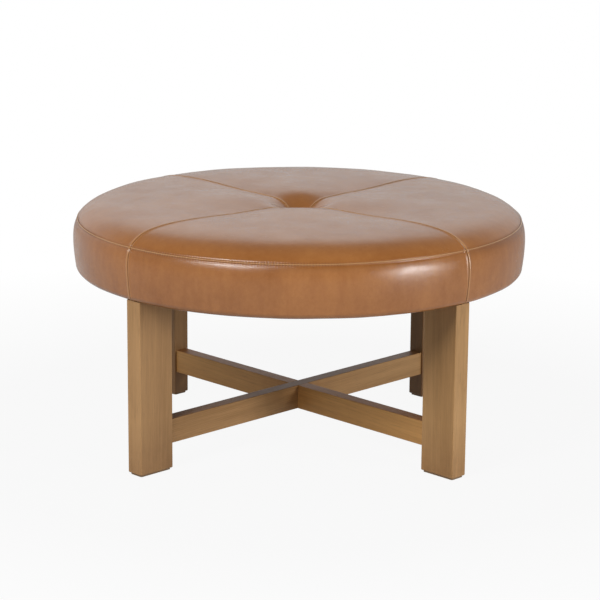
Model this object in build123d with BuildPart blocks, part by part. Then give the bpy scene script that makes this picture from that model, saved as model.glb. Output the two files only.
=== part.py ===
"""Round leather ottoman with a tufted, cross-seamed seat on four plank legs and crossed stretchers.

Millimetres, +Z up, the floor at Z = 0 under the middle of the seat. The front looks along -Y and the
legs stand on the diagonals.
"""
from build123d import *
from math import atan2, cos, degrees, radians, sin, sqrt
import os

# Seat outline: heights stack up from its underside and widths run inwards from its edge seam
seat_bottom = 349.0
side_height = 104.0
edge_seam_radius = 449.0
side_foot_outset = 0.5
side_bulge = 7.8
lower_corner_radius = 16.0
shoulder_width = 49.0
shoulder_rise = 27.0
crown_edge_width = 60.0
crown_edge_rise = 6.2
crown_rise = 4.5

# Tuft in the middle of the seat
tuft_lip_radius = 72.0
tuft_depth = 40.7
tuft_lip_share = 0.78

# Leather cover
leather_thickness = 1.6
top_roll_radius = 7.0
side_roll_radius = 3.0
top_edge_round = 1.2
side_edge_round = 1.8
panel_gap = 0.25
seam_allowance = 9.0
crossing_bore_radius = 11.0
hem_past_legs = 10.0

# Padding
fibre_thickness = 12.0
soft_gap = 0.3
foam_band_depth = 24.0

# Seat frame
ring_thickness = 18.0
ring_ledge = 5.0
deck_thickness = 18.0
deck_below_seam = 27.0
hoop_thickness = 4.0
hoop_gap = 0.2
segment_gap = 0.4
leg_block_length = 80.0
leg_block_depth = 28.0
leg_block_clearance = 3.0
joint_block_length = 70.0
joint_block_depth = 55.0
joint_block_setback = 12.0

# Legs and stretchers
leg_setback = 5.0
leg_depth = 82.0
leg_width = 38.0
leg_edge_round = 2.0
leg_foot_chamfer = 1.5
foot_pad_thickness = 3.5
foot_pad_inset = 3.0
foot_pad_corner = 4.0
stretcher_width = 28.4
stretcher_height = 49.4
stretcher_underside = 51.6
stretcher_edge_round = 1.5
lap_clearance = 0.15

# Fixings
bolt_shank_radius = 4.0
bolt_head_across_flats = 13.0
bolt_head_height = 5.3
bolt_grip_in_leg = 30.0
bolt_to_leg_face = 12.0
bolt_to_ring_edge = 15.0
bolt_hole_clearance = 0.5
bolt_tip_room = 4.0
washer_radius = 8.0
washer_thickness = 1.6
insert_radius = 6.5
insert_length = 25.0
insert_clearance = 0.1
dowel_radius = 5.0
dowel_length = 60.0
dowel_clearance = 0.1
dowel_spacing = 25.0
dowel_chamfer = 1.0
dowel_tip_room = 1.0
screw_shank_radius = 2.2
screw_length = 38.0
screw_head_radius = 4.4
screw_head_height = 2.8
screw_tip = 5.0
screw_clearance = 0.1

# Tuft fixings
button_radius = 14.0
button_height = 8.0
button_rim = 2.0
button_clearance = 3.0
shank_radius = 3.0
twine_radius = 1.3
twine_clearance = 0.5
knot_radius = 4.0
tie_washer_radius = 16.0
tie_washer_thickness = 3.0

# Dust cover
dust_cover_overlap = 38.0
dust_cover_thickness = 1.0
dust_cover_notch_gap = 1.0

sides = {"right": 0, "back": 90, "left": 180, "front": 270}
corners = {"back_right": 45, "back_left": 135, "front_left": 225, "front_right": 315}
quarter_turn = 90
quarter_overrun = 5
cut_overrun = 50.0
same_height = 0.01

# Sizes that follow from the ones above
edge_seam_height = seat_bottom + side_height
side_middle = seat_bottom + side_height / 2
side_foot_radius = edge_seam_radius + side_foot_outset
seat_radius = (edge_seam_radius + side_foot_radius) / 2 + side_bulge
shoulder_radius = edge_seam_radius - shoulder_width
shoulder_height = edge_seam_height + shoulder_rise
crown_edge_radius = shoulder_radius - crown_edge_width
crown_edge_height = shoulder_height + crown_edge_rise
crown_height = crown_edge_height + crown_rise
tuft_floor_radius = button_radius + button_clearance
tuft_floor_height = crown_height - tuft_depth
beyond_seat = seat_radius + cut_overrun
top_limit = crown_height + cut_overrun
frame_bottom = seat_bottom + leather_thickness
ring_top = frame_bottom + ring_thickness
deck_top = edge_seam_height - deck_below_seam
deck_bottom = deck_top - deck_thickness
hoop_outer_radius = edge_seam_radius - foam_band_depth
hoop_inner_radius = hoop_outer_radius - hoop_thickness
ring_outer_radius = hoop_inner_radius - hoop_gap
leg_top = seat_bottom
leg_reach = edge_seam_radius - leg_setback
leg_inner_reach = leg_reach - leg_depth
leg_middle = leg_reach - leg_depth / 2
hem_inner_radius = leg_inner_reach - hem_past_legs
bolt_radii = [leg_inner_reach + bolt_to_leg_face, ring_outer_radius - bolt_to_ring_edge]
leg_block_reach = bolt_radii[0] - washer_radius - leg_block_clearance
ring_inner_radius = leg_block_reach - leg_block_depth - ring_ledge
bolt_hole_radius = bolt_shank_radius + bolt_hole_clearance
head_seat = ring_top + washer_thickness
stretcher_top = stretcher_underside + stretcher_height
stretcher_middle = (stretcher_underside + stretcher_top) / 2
dowel_heights = [stretcher_middle - dowel_spacing / 2, stretcher_middle + dowel_spacing / 2]
twine_hole_radius = twine_radius + twine_clearance
shank_bottom = tuft_floor_height - seam_allowance
screw_head_taper = degrees(atan2(screw_head_radius - screw_shank_radius, screw_head_height))
flap_inner_radius = edge_seam_radius - 2 * seam_allowance
dust_cover_radius = hem_inner_radius + dust_cover_overlap

os.makedirs("parts", exist_ok=True)


def radial_plane(azimuth):
    """Upright plane through the seat's axis, local x pointing outwards and local y up."""
    turn = radians(azimuth)
    return Plane(origin=(0, 0, 0), x_dir=(cos(turn), sin(turn), 0), z_dir=(sin(turn), -cos(turn), 0))


def save(piece, name, turn=0):
    """Write one piece, turned about the seat's axis to its place."""
    placed = piece.rotate(Axis.Z, turn) if turn else piece
    placed.label = name
    export_step(placed, f"parts/{name}.step")


def seat_outline(inset, windows):
    """Half of the seat's section drawn in by inset and kept inside the windows, drawn flat.

    A window is (inner radius, outer radius, low, high).
    """
    lip = (tuft_lip_radius, crown_height)
    floor = (tuft_floor_radius, tuft_floor_height)
    turn_point = (
        lip[0] + tuft_lip_share * (floor[0] - lip[0]),
        lip[1] + tuft_lip_share * (floor[1] - lip[1]),
    )
    with BuildSketch() as kept:
        for inner, outer, low, high in windows:
            with Locations(((inner + outer) / 2, (low + high) / 2)):
                Rectangle(outer - inner, high - low)
    with BuildSketch() as section:
        with BuildLine():
            Line((0, seat_bottom), (side_foot_radius, seat_bottom))
            ThreePointArc(
                (side_foot_radius, seat_bottom),
                (seat_radius, side_middle),
                (edge_seam_radius, edge_seam_height),
            )
            crown = TangentArc(lip, (crown_edge_radius, crown_edge_height), tangent=(1, 0))
            shoulder = TangentArc(crown @ 1, (shoulder_radius, shoulder_height), tangent=crown % 1)
            TangentArc(shoulder @ 1, (edge_seam_radius, edge_seam_height), tangent=shoulder % 1)
            dip = TangentArc(lip, turn_point, tangent=(-1, 0))
            TangentArc(dip @ 1, floor, tangent=dip % 1)
            Line(floor, (0, tuft_floor_height))
            mirror(about=Plane.YZ)
        make_face()
        foot_corners = section.vertices().group_by(Axis.Y)[0]
        fillet(foot_corners, lower_corner_radius)
        if inset:
            offset(amount=-inset, kind=Kind.INTERSECTION)
        add(kept.sketch, mode=Mode.INTERSECT)
    return section.edges()


def seat_section(inset, windows, azimuth):
    """The seat's outline as a face in the upright plane at an azimuth."""
    with BuildSketch(radial_plane(azimuth)) as section:
        with BuildLine():
            for edge in seat_outline(inset, windows):
                if edge.geom_type == GeomType.CIRCLE:
                    ThreePointArc(edge @ 0, edge @ 0.5, edge @ 1)
                else:
                    Line(edge @ 0, edge @ 1)
        make_face()
    return section.sketch


def wedge(inset):
    """Quarter of the plan facing +X, its two straight sides moved in by inset."""
    corner = inset * sqrt(2)
    reach = beyond_seat + corner
    with BuildSketch() as plan:
        with BuildLine():
            Polyline((corner, 0), (reach, beyond_seat), (reach, -beyond_seat), close=True)
        make_face()
    return plan.sketch


def seat_core(inset, windows):
    """The whole seat's form turned about its axis, drawn in by inset."""
    section = seat_section(inset, windows, 0)
    with BuildPart() as core:
        revolve(section, axis=Axis.Z)
    return core.part


def seat_quarter(inset, windows, roll, square_heights):
    """A quarter of the seat's form facing +X, its seam edges rolled over but for cut ones."""
    sweep_start = -quarter_turn / 2 - quarter_overrun
    section = seat_section(inset, windows, sweep_start)
    plan = wedge(inset + panel_gap)
    with BuildPart() as quarter:
        revolve(section, axis=Axis.Z, revolution_arc=-2 * sweep_start)
        extrude(plan, amount=top_limit, mode=Mode.INTERSECT)
        seam_faces = quarter.faces().filter_by(GeomType.PLANE)
        seam_faces = seam_faces.filter_by(lambda face: abs(face.normal_at().Z) < same_height)
        rolled = seam_faces.edges().filter_by(Axis.Z, reverse=True)
        for height in square_heights:
            rolled = rolled.filter_by(lambda edge: abs(edge.center().Z - height) > same_height)
        fillet(rolled, roll - inset)
    return quarter.part


def upper_quarter(inset):
    """A quarter of what lies above the edge seam, deeper inside to take in the tuft."""
    cut = edge_seam_height + inset
    windows = [
        (crossing_bore_radius, flap_inner_radius, deck_top, top_limit),
        (flap_inner_radius, beyond_seat, cut, top_limit),
    ]
    return seat_quarter(inset, windows, top_roll_radius, [deck_top, cut])


def lower_quarter(inset, inner_radius, low, high, square_heights):
    """A quarter of what lies below the edge seam, outside an inner radius."""
    windows = [(inner_radius, beyond_seat, low, high)]
    return seat_quarter(inset, windows, side_roll_radius, square_heights)


def ring(outer_radius, inner_radius, low, height):
    """Flat ring or disc about the seat's axis."""
    with BuildPart() as washer:
        with BuildSketch(Plane.XY.offset(low)):
            Circle(outer_radius)
            Circle(inner_radius, mode=Mode.SUBTRACT)
        extrude(amount=height)
    return washer.part


def around(piece, places):
    """The same piece turned about the seat's axis to several places."""
    return [piece.rotate(Axis.Z, turn) for turn in places.values()]


def group(piece, places):
    """Identical fixings at several places, as separate solids of one piece."""
    with BuildPart() as fixings:
        add(around(piece, places))
    return fixings.part


# Top leather, one panel for each quarter, with its edges turned down into the seams
flap_limit = seat_core(seam_allowance, [(0, beyond_seat, seat_bottom, top_limit)])
top_outside = upper_quarter(0)
top_inside = upper_quarter(leather_thickness)
with BuildPart() as top_panel:
    add(top_outside)
    rim = top_panel.edges().filter_by_position(Axis.Z, edge_seam_height, edge_seam_height)
    fillet(rim.sort_by(SortBy.LENGTH)[-1:], top_edge_round)
    add(top_inside, mode=Mode.SUBTRACT)
    add(flap_limit, mode=Mode.SUBTRACT)
for side, turn in sides.items():
    save(top_panel.part, f"top_panel_{side}", turn)

# Side leather, one panel below each top panel, turned in under the frame as a hem
side_outside = lower_quarter(0, hem_inner_radius, 0, edge_seam_height, [edge_seam_height])
side_inside = lower_quarter(
    leather_thickness,
    hem_inner_radius,
    seat_bottom,
    edge_seam_height - leather_thickness,
    [edge_seam_height - leather_thickness],
)
frame_space = ring(
    hoop_outer_radius + soft_gap, twine_hole_radius, frame_bottom, deck_top - frame_bottom
)
with BuildPart() as side_panel:
    add(side_outside)
    rim = side_panel.edges().filter_by_position(Axis.Z, edge_seam_height, edge_seam_height)
    fillet(rim.sort_by(SortBy.LENGTH)[-1:], side_edge_round)
    add(side_inside, mode=Mode.SUBTRACT)
    add(flap_limit, mode=Mode.SUBTRACT)
    add(frame_space, mode=Mode.SUBTRACT)
    with BuildSketch(Plane.XY.offset(seat_bottom)):
        for radius in bolt_radii:
            with PolarLocations(radius, len(corners), start_angle=corners["back_right"]):
                Circle(bolt_hole_radius + bolt_hole_clearance)
    extrude(amount=leather_thickness, mode=Mode.SUBTRACT)
for side, turn in sides.items():
    save(side_panel.part, f"side_panel_{side}", turn)

# Fibre wrap: four pillows over the foam pad, joined under the seams, with a skirt down to the deck
fibre_inset = leather_thickness + soft_gap
skirt_low = deck_top + soft_gap
skirt_high = edge_seam_height - fibre_inset
pillow = upper_quarter(fibre_inset)
skirt = lower_quarter(fibre_inset, flap_inner_radius, skirt_low, skirt_high, [skirt_low, skirt_high])
fibre_web = seat_core(
    seam_allowance + soft_gap, [(twine_hole_radius, beyond_seat, skirt_low, top_limit)]
)
pad_space = seat_core(fibre_thickness, [(0, beyond_seat, seat_bottom, top_limit)])
with BuildPart() as fibre_wrap:
    add(fibre_web)
    add(around(pillow, sides))
    add(around(skirt, sides))
    add(pad_space, mode=Mode.SUBTRACT)
save(fibre_wrap.part, "fibre_wrap")

# Foam pad on the deck
pad_window = (twine_hole_radius, beyond_seat, deck_top, top_limit)
save(seat_core(fibre_thickness + soft_gap, [pad_window]), "foam_pad")

# Foam band round the frame, slit at the four side seams
band_inner_radius = hoop_outer_radius + soft_gap
band_bottom = seat_bottom + fibre_inset
band_quarter = lower_quarter(fibre_inset, band_inner_radius, seat_bottom, deck_top, [deck_top])
band_core = seat_core(
    seam_allowance + soft_gap, [(band_inner_radius, beyond_seat, band_bottom, deck_top)]
)
with BuildPart() as foam_band:
    add(band_core)
    add(around(band_quarter, sides))
save(foam_band.part, "foam_band")

# Deck board and bent rim hoop
save(ring(ring_outer_radius, twine_hole_radius, deck_bottom, deck_thickness), "deck_board")
save(ring(hoop_outer_radius, hoop_inner_radius, frame_bottom, deck_top - frame_bottom), "rim_hoop")

# Base ring of the seat frame in four segments, each over one leg
segment_plan = wedge(segment_gap / 2)
with BuildPart() as ring_segment:
    with BuildSketch(Plane.XY.offset(frame_bottom)):
        Circle(ring_outer_radius)
        Circle(ring_inner_radius, mode=Mode.SUBTRACT)
        add(segment_plan, mode=Mode.INTERSECT)
        for radius in bolt_radii:
            with Locations((radius, 0)):
                Circle(bolt_hole_radius, mode=Mode.SUBTRACT)
    extrude(amount=ring_thickness)
for corner, turn in corners.items():
    save(ring_segment.part, f"ring_segment_{corner}", turn)

# Blocks between base ring and deck, one behind each pair of bolts and one over each ring joint
with BuildPart() as leg_block:
    with BuildSketch(Plane.XY.offset(ring_top)):
        with Locations((leg_block_reach - leg_block_depth / 2, 0)):
            Rectangle(leg_block_depth, leg_block_length)
    extrude(amount=deck_bottom - ring_top)
for corner, turn in corners.items():
    save(leg_block.part, f"leg_block_{corner}", turn)
joint_block_reach = ring_outer_radius - joint_block_setback
with BuildPart() as joint_block:
    with BuildSketch(Plane.XY.offset(ring_top)):
        with Locations((joint_block_reach - joint_block_depth / 2, 0)):
            Rectangle(joint_block_depth, joint_block_length)
    extrude(amount=deck_bottom - ring_top)
for side, turn in sides.items():
    save(joint_block.part, f"joint_block_{side}", turn)

# Legs: planks on edge, bored on top for the bolt inserts and inside for the dowels
with BuildPart() as leg:
    with BuildSketch(Plane.XY.offset(foot_pad_thickness)):
        with Locations((leg_middle, 0)):
            RectangleRounded(leg_depth, leg_width, leg_edge_round)
    extrude(amount=leg_top - foot_pad_thickness)
    chamfer(leg.edges().group_by(Axis.Z)[0], leg_foot_chamfer)
    with BuildSketch(Plane.XY.offset(leg_top)):
        for radius in bolt_radii:
            with Locations((radius, 0)):
                Circle(insert_radius + insert_clearance)
    extrude(amount=-insert_length, mode=Mode.SUBTRACT)
    with BuildSketch(Plane.XY.offset(leg_top)):
        for radius in bolt_radii:
            with Locations((radius, 0)):
                Circle(bolt_hole_radius)
    extrude(amount=-(bolt_grip_in_leg + bolt_tip_room), mode=Mode.SUBTRACT)
    with BuildSketch(Plane.YZ.offset(leg_inner_reach)):
        for height in dowel_heights:
            with Locations((0, height)):
                Circle(dowel_radius + dowel_clearance)
    extrude(amount=dowel_length / 2 + dowel_tip_room, mode=Mode.SUBTRACT)
for corner, turn in corners.items():
    save(leg.part, f"leg_{corner}", turn)

# Foot pads
with BuildPart() as foot_pad:
    with BuildSketch():
        with Locations((leg_middle, 0)):
            RectangleRounded(
                leg_depth - 2 * foot_pad_inset, leg_width - 2 * foot_pad_inset, foot_pad_corner
            )
    extrude(amount=foot_pad_thickness)
for corner, turn in corners.items():
    save(foot_pad.part, f"foot_pad_{corner}", turn)

# Stretchers, half lapped where they cross: the first keeps its upper half and the second its lower
lap_width = stretcher_width + 2 * lap_clearance
lap_halves = {
    "stretcher_upper_lap": (corners["back_right"], stretcher_underside, stretcher_middle),
    "stretcher_lower_lap": (corners["back_left"], stretcher_middle, stretcher_top),
}
for name, (turn, notch_low, notch_high) in lap_halves.items():
    with BuildPart() as stretcher:
        with BuildSketch(Plane.YZ.offset(-leg_inner_reach)):
            with Locations((0, stretcher_middle)):
                RectangleRounded(stretcher_width, stretcher_height, stretcher_edge_round)
        extrude(amount=2 * leg_inner_reach)
        with BuildSketch(Plane.XY.offset(notch_low)):
            Rectangle(lap_width, stretcher_width)
        extrude(amount=notch_high - notch_low, mode=Mode.SUBTRACT)
        for end, inward in ((-leg_inner_reach, 1), (leg_inner_reach, -1)):
            with BuildSketch(Plane.YZ.offset(end)):
                for height in dowel_heights:
                    with Locations((0, height)):
                        Circle(dowel_radius + dowel_clearance)
            extrude(amount=inward * (dowel_length / 2 + dowel_tip_room), mode=Mode.SUBTRACT)
        with BuildSketch(Plane.XY.offset(stretcher_underside)):
            Circle(screw_shank_radius + screw_clearance)
        extrude(amount=screw_length + screw_clearance, mode=Mode.SUBTRACT)
        with BuildSketch(Plane.XY.offset(stretcher_underside)):
            Circle(screw_head_radius + screw_clearance)
        extrude(amount=screw_head_height, taper=screw_head_taper, mode=Mode.SUBTRACT)
    save(stretcher.part, name, turn)

# Screw up through the lap
with BuildPart() as lap_screw:
    with BuildSketch(radial_plane(0)):
        with BuildLine():
            Polyline(
                (0, stretcher_underside),
                (screw_head_radius, stretcher_underside),
                (screw_shank_radius, stretcher_underside + screw_head_height),
                (screw_shank_radius, stretcher_underside + screw_length - screw_tip),
                (0, stretcher_underside + screw_length),
                close=True,
            )
        make_face()
    revolve(axis=Axis.Z)
save(lap_screw.part, "lap_screw")

# Dowels between stretchers and legs
with BuildPart() as dowel_pair:
    with BuildSketch(Plane.YZ.offset(leg_inner_reach - dowel_length / 2)):
        for height in dowel_heights:
            with Locations((0, height)):
                Circle(dowel_radius)
    extrude(amount=dowel_length)
    chamfer(dowel_pair.edges().filter_by(GeomType.CIRCLE), dowel_chamfer)
save(group(dowel_pair.part, corners), "stretcher_dowels")

# Leg bolts, washers and threaded inserts
with BuildPart() as bolt_pair:
    with BuildSketch(Plane.XY.offset(head_seat)):
        for radius in bolt_radii:
            with Locations((radius, 0)):
                RegularPolygon(bolt_head_across_flats / 2, 6, major_radius=False)
    extrude(amount=bolt_head_height)
    with BuildSketch(Plane.XY.offset(head_seat)):
        for radius in bolt_radii:
            with Locations((radius, 0)):
                Circle(bolt_shank_radius)
    extrude(amount=-(head_seat - leg_top + bolt_grip_in_leg))
save(group(bolt_pair.part, corners), "leg_bolts")
with BuildPart() as washer_pair:
    with BuildSketch(Plane.XY.offset(ring_top)):
        for radius in bolt_radii:
            with Locations((radius, 0)):
                Circle(washer_radius)
                Circle(bolt_hole_radius, mode=Mode.SUBTRACT)
    extrude(amount=washer_thickness)
save(group(washer_pair.part, corners), "leg_bolt_washers")
with BuildPart() as insert_pair:
    with BuildSketch(Plane.XY.offset(leg_top - insert_length)):
        for radius in bolt_radii:
            with Locations((radius, 0)):
                Circle(insert_radius)
                Circle(bolt_shank_radius + insert_clearance, mode=Mode.SUBTRACT)
    extrude(amount=insert_length)
save(group(insert_pair.part, corners), "leg_inserts")

# Tuft button on its shank, the twine down through the padding and deck, and its washer
with BuildPart() as tuft_button:
    with BuildSketch(radial_plane(0)):
        with BuildLine():
            Polyline(
                (0, tuft_floor_height + button_height),
                (0, shank_bottom),
                (shank_radius, shank_bottom),
                (shank_radius, tuft_floor_height),
                (button_radius, tuft_floor_height),
                (button_radius, tuft_floor_height + button_rim),
            )
            TangentArc(
                (0, tuft_floor_height + button_height),
                (button_radius, tuft_floor_height + button_rim),
                tangent=(1, 0),
            )
        make_face()
    revolve(axis=Axis.Z)
save(tuft_button.part, "tuft_button")
tie_washer_bottom = deck_bottom - tie_washer_thickness
with BuildPart() as tuft_twine:
    with BuildSketch(Plane.XY.offset(tie_washer_bottom - knot_radius)):
        Circle(twine_radius)
    extrude(amount=shank_bottom - tie_washer_bottom + knot_radius)
    with Locations((0, 0, tie_washer_bottom - knot_radius)):
        Sphere(knot_radius)
save(tuft_twine.part, "tuft_twine")
save(
    ring(tie_washer_radius, twine_hole_radius, tie_washer_bottom, tie_washer_thickness), "tie_washer"
)

# Dust cover, cut out round the legs
with BuildPart() as dust_cover:
    with BuildSketch(Plane.XY.offset(seat_bottom - dust_cover_thickness)):
        Circle(dust_cover_radius)
        notch_middle = leg_middle - dust_cover_notch_gap
        with PolarLocations(notch_middle, len(corners), start_angle=corners["back_right"]):
            Rectangle(leg_depth, leg_width + 2 * dust_cover_notch_gap, mode=Mode.SUBTRACT)
    extrude(amount=dust_cover_thickness)
save(dust_cover.part, "dust_cover")
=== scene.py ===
# %% [markdown]
# # A tufted round ottoman
#
# The object is a big round footstool: a crowned leather seat, sewn from four quarters whose seams
# run to one tuft in the middle, on four oak planks that two crossed stretchers tie together. The CAD
# model gives every size and place. This script models the leather, the padding and the cloth under
# the seat with its staples, and gives each CAD piece a finish. One body, "root", carries the pieces
# modelled here.

# %% Load the frame
from math import cos, pi, radians, sin

import bmesh
import bpy
import numpy as np
from mathutils import Matrix, Vector, noise


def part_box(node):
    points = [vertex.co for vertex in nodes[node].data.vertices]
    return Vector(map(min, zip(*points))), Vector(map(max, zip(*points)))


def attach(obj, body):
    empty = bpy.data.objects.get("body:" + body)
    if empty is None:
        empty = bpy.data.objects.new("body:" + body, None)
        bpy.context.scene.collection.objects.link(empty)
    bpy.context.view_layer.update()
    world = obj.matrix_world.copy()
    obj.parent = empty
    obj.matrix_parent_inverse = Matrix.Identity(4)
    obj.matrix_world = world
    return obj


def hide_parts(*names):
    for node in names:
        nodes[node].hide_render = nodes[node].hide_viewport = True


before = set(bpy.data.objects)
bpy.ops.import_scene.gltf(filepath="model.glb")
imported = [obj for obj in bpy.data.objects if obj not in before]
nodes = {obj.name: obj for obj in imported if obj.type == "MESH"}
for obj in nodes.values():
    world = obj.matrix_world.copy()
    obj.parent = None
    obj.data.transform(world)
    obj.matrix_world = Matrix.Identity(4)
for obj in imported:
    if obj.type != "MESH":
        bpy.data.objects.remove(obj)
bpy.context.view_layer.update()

mm = 0.001


def in_scene(name, data):
    """A new object, linked to the scene."""
    made = bpy.data.objects.new(name, data)
    bpy.context.scene.collection.objects.link(made)
    return made


print("CAD nodes:", len(nodes))

# %% [markdown]
# ## The camera
#
# The photo was taken from about four and a half metres away, a little above the seat, with a long
# lens. The legs, stretchers and seams of the CAD model were matched with the photo to find these
# values, and they come first, because every later comparison depends on them. Forward, right and up
# are three unit vectors, written as the columns of the camera's matrix.

# %% Camera at the photo's viewing angle
camera_place = Vector((0.0173, -4.3475, 1.3482))
camera_turn = -0.0034
camera_dip = 0.2416
camera_tilt = 0.0085
camera_lens = 131.17

level_length = cos(camera_dip)
forward = Vector((sin(camera_turn) * level_length, cos(camera_turn) * level_length, -sin(camera_dip)))
right = forward.cross(Vector((0, 0, 1))).normalized()
up = right.cross(forward)
level = Matrix((right, up, -forward)).transposed()
lens = bpy.data.cameras.new("photo_camera")
lens.lens = camera_lens
camera = in_scene("photo_camera", lens)
camera.matrix_world = (level @ Matrix.Rotation(camera_tilt, 3, "Z")).to_4x4()
camera.matrix_world.translation = camera_place
bpy.context.scene.camera = camera
print("camera looks", [round(v, 3) for v in forward], "through a lens of", camera_lens, "mm")

# %% [markdown]
# ## Sizes read from the frame
#
# The leather is measured on the CAD panels, so that a later change in the CAD moves the leather with
# it. The side panel swells past its seam, so the seam's radius is the panel's reach less that swell.

# %% Seat sizes
side_swell = 8.05 * mm
side_low, side_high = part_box("side_panel_right")
button_low, button_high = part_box("tuft_button")
crown_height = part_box("top_panel_right")[1].z
seat_bottom = side_low.z
seam_height = side_high.z
seam_radius = side_high.x - side_swell
side_height = seam_height - seat_bottom
quarters = {"right": 0, "back": 90, "left": 180, "front": 270}
corners = {"back_right": 45, "back_left": 135, "front_left": 225, "front_right": 315}
print("edge seam: radius", round(seam_radius, 4), "height", round(seam_height, 4))

# %% [markdown]
# ## A short way to write node materials
#
# put() adds one node and fills its inputs: a socket is linked and anything else becomes the input's
# own value. A pattern that several materials share is made once as a node group, and the shader
# itself stays in each material. Noise gives values near a half, so widened() stretches a window
# about the half: a small window makes spots with hard edges.

# %% Helpers for nodes
def put(tree, kind, inputs=None, **settings):
    """Adds a shader node; inputs maps its sockets to values or to other nodes' sockets."""
    made = tree.nodes.new("ShaderNode" + kind)
    for name, value in settings.items():
        setattr(made, name, value)
    feed(tree, made, inputs or {})
    return made


def feed(tree, made, inputs):
    """Links sockets and sets values on a node's inputs."""
    for name, value in inputs.items():
        if isinstance(value, bpy.types.NodeSocket):
            tree.links.new(value, made.inputs[name])
        else:
            made.inputs[name].default_value = value


def mixed(tree, share, one, other, blend="MIX"):
    """One colour mixed with another, by a share from 0 to 1."""
    return put(tree, "Mix", {0: share, 6: one, 7: other}, data_type="RGBA", blend_type=blend).outputs[2]


def stretched(tree, source, low, high, to_low=0.0, to_high=1.0):
    """A value brought from one range to another and kept inside it."""
    return put(tree, "MapRange", {0: source, 1: low, 2: high, 3: to_low, 4: to_high}).outputs[0]


def widened(tree, source, window, to_low=0.0, to_high=1.0):
    """Noise cut to a window about a half and brought to a full range."""
    return stretched(tree, source, 0.5 - window, 0.5 + window, to_low, to_high)


def worked(tree, operation, one, other=0.0):
    """One sum of two values."""
    return put(tree, "Math", {0: one, 1: other}, operation=operation).outputs[0]


def times(tree, one, other):
    return worked(tree, "MULTIPLY", one, other)


def plus(tree, one, other):
    return worked(tree, "ADD", one, other)


def cloudy(tree, vector, spots, detail=3.0, roughness=0.5, distortion=0.0):
    """Plain noise at so many spots to the metre."""
    look = {"Scale": spots, "Detail": detail, "Roughness": roughness, "Distortion": distortion}
    return put(tree, "TexNoise", {"Vector": vector, **look}).outputs[0]


def object_place(tree):
    return put(tree, "TexCoord").outputs["Object"]


def squeezed(tree, vector, scale):
    """A place whose axes are scaled: a small scale draws a pattern out along its axis."""
    return put(tree, "Mapping", {"Vector": vector, "Scale": scale}).outputs[0]


def axes(tree, vector):
    return put(tree, "SeparateXYZ", {"Vector": vector}).outputs


def length_of(tree, vector):
    return put(tree, "VectorMath", {0: vector}, operation="LENGTH").outputs["Value"]


def from_axis(tree, vector):
    """Distance from the Z axis."""
    parts = axes(tree, vector)
    return length_of(tree, put(tree, "CombineXYZ", {"X": parts["X"], "Y": parts["Y"]}).outputs[0])


def stored(tree, mask):
    """A mask that the mesh keeps at its points."""
    return put(tree, "Attribute", attribute_name=mask).outputs["Fac"]


def new_group(name, inputs, outputs):
    """An empty node group with its sockets, and its two end nodes."""
    tree = bpy.data.node_groups.new(name, "ShaderNodeTree")
    for socket, kind in inputs.items():
        tree.interface.new_socket(socket, in_out="INPUT", socket_type="NodeSocket" + kind)
    for socket, kind in outputs.items():
        tree.interface.new_socket(socket, in_out="OUTPUT", socket_type="NodeSocket" + kind)
    return tree, tree.nodes.new("NodeGroupInput"), tree.nodes.new("NodeGroupOutput")


def new_material(name, **sockets):
    """A material with a Principled shader, whose constant sockets are set on the shader itself."""
    material = bpy.data.materials.new(name)
    material.use_nodes = True
    shader = material.node_tree.nodes["Principled BSDF"]
    for socket, value in sockets.items():
        shader.inputs[socket.replace("_", " ")].default_value = value
    return material, material.node_tree, shader


def use_group(tree, shader, group, inputs, bump_distance):
    """Feeds a shader from a group's Color, Roughness and Height."""
    made = put(tree, "Group", node_tree=group)
    feed(tree, made, inputs)
    bump = put(tree, "Bump", {"Height": made.outputs["Height"], "Distance": bump_distance})
    colour, roughness = made.outputs["Color"], made.outputs["Roughness"]
    feed(tree, shader, {"Base Color": colour, "Roughness": roughness, "Normal": bump.outputs[0]})


print("node helpers ready")

# %% [markdown]
# ## Leather
#
# The cover is smooth, waxed, cognac coloured leather. Close up it has fine pores and creases about a
# millimetre apart, and from a step away soft clouds where the hide took up more or less dye. Noise in
# object space fits a round seat without any unwrapping.
#
# The sewing leaves its own marks, and the meshes carry a mask for each, so the colour follows the
# sewing exactly. On the "fold" the colour is lighter, a painted highlight on the ridges beside the
# seams and on the rim's lip, and in the "groove" a dark colour is painted shade in the seam's crack.
# Near the rim's seam the "held" mask darkens the leather as painted shade, above and below the lip
# and most on the right. "along" is the distance round the rim, for the needle's regular puckers, and
# "pucker" says how near the rim's seam a point lies; dark marks in the puckers' hollows are painted
# shade. The thread was drawn tighter on the left half.

# %% Leather pattern, made once
crease_colour = (0.10, 0.035, 0.012, 1)
# Painted shade below and above the rim's seam.
rim_shade_colour = (0.20, 0.062, 0.010, 1)
# Painted highlight on the ridges beside the seams and on the rim's lip.
ridge_highlight_colour = (0.74, 0.41, 0.17, 1)
# Painted shade in the seam grooves and the puckers' hollows.
seam_shade_colour = (0.13, 0.045, 0.015, 1)
stitch_pitch = 5.6 * mm
pucker_height = 7.0
rim_shade_right = (0.28, 0.38)
tight_side = (-0.02, 0.12)


def dyed(tree, place, light, dark):
    """The hide's colour: clouds, upright blotches and fine mottling between a light and a dark dye."""
    clouds = widened(tree, cloudy(tree, place, 7.0, 4.0, 0.55, 0.4), 0.18)
    upright = squeezed(tree, place, (1, 1, 0.25))
    blotches = widened(tree, cloudy(tree, upright, 45.0, 4.0, 0.6), 0.2)
    mottling = widened(tree, cloudy(tree, place, 120.0, 3.0, 0.6, 0.5), 0.15, -0.1, 0.1)
    shade = plus(tree, times(tree, clouds, 0.6), times(tree, blotches, 0.4))
    return mixed(tree, plus(tree, shade, mottling), dark, light)


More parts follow.
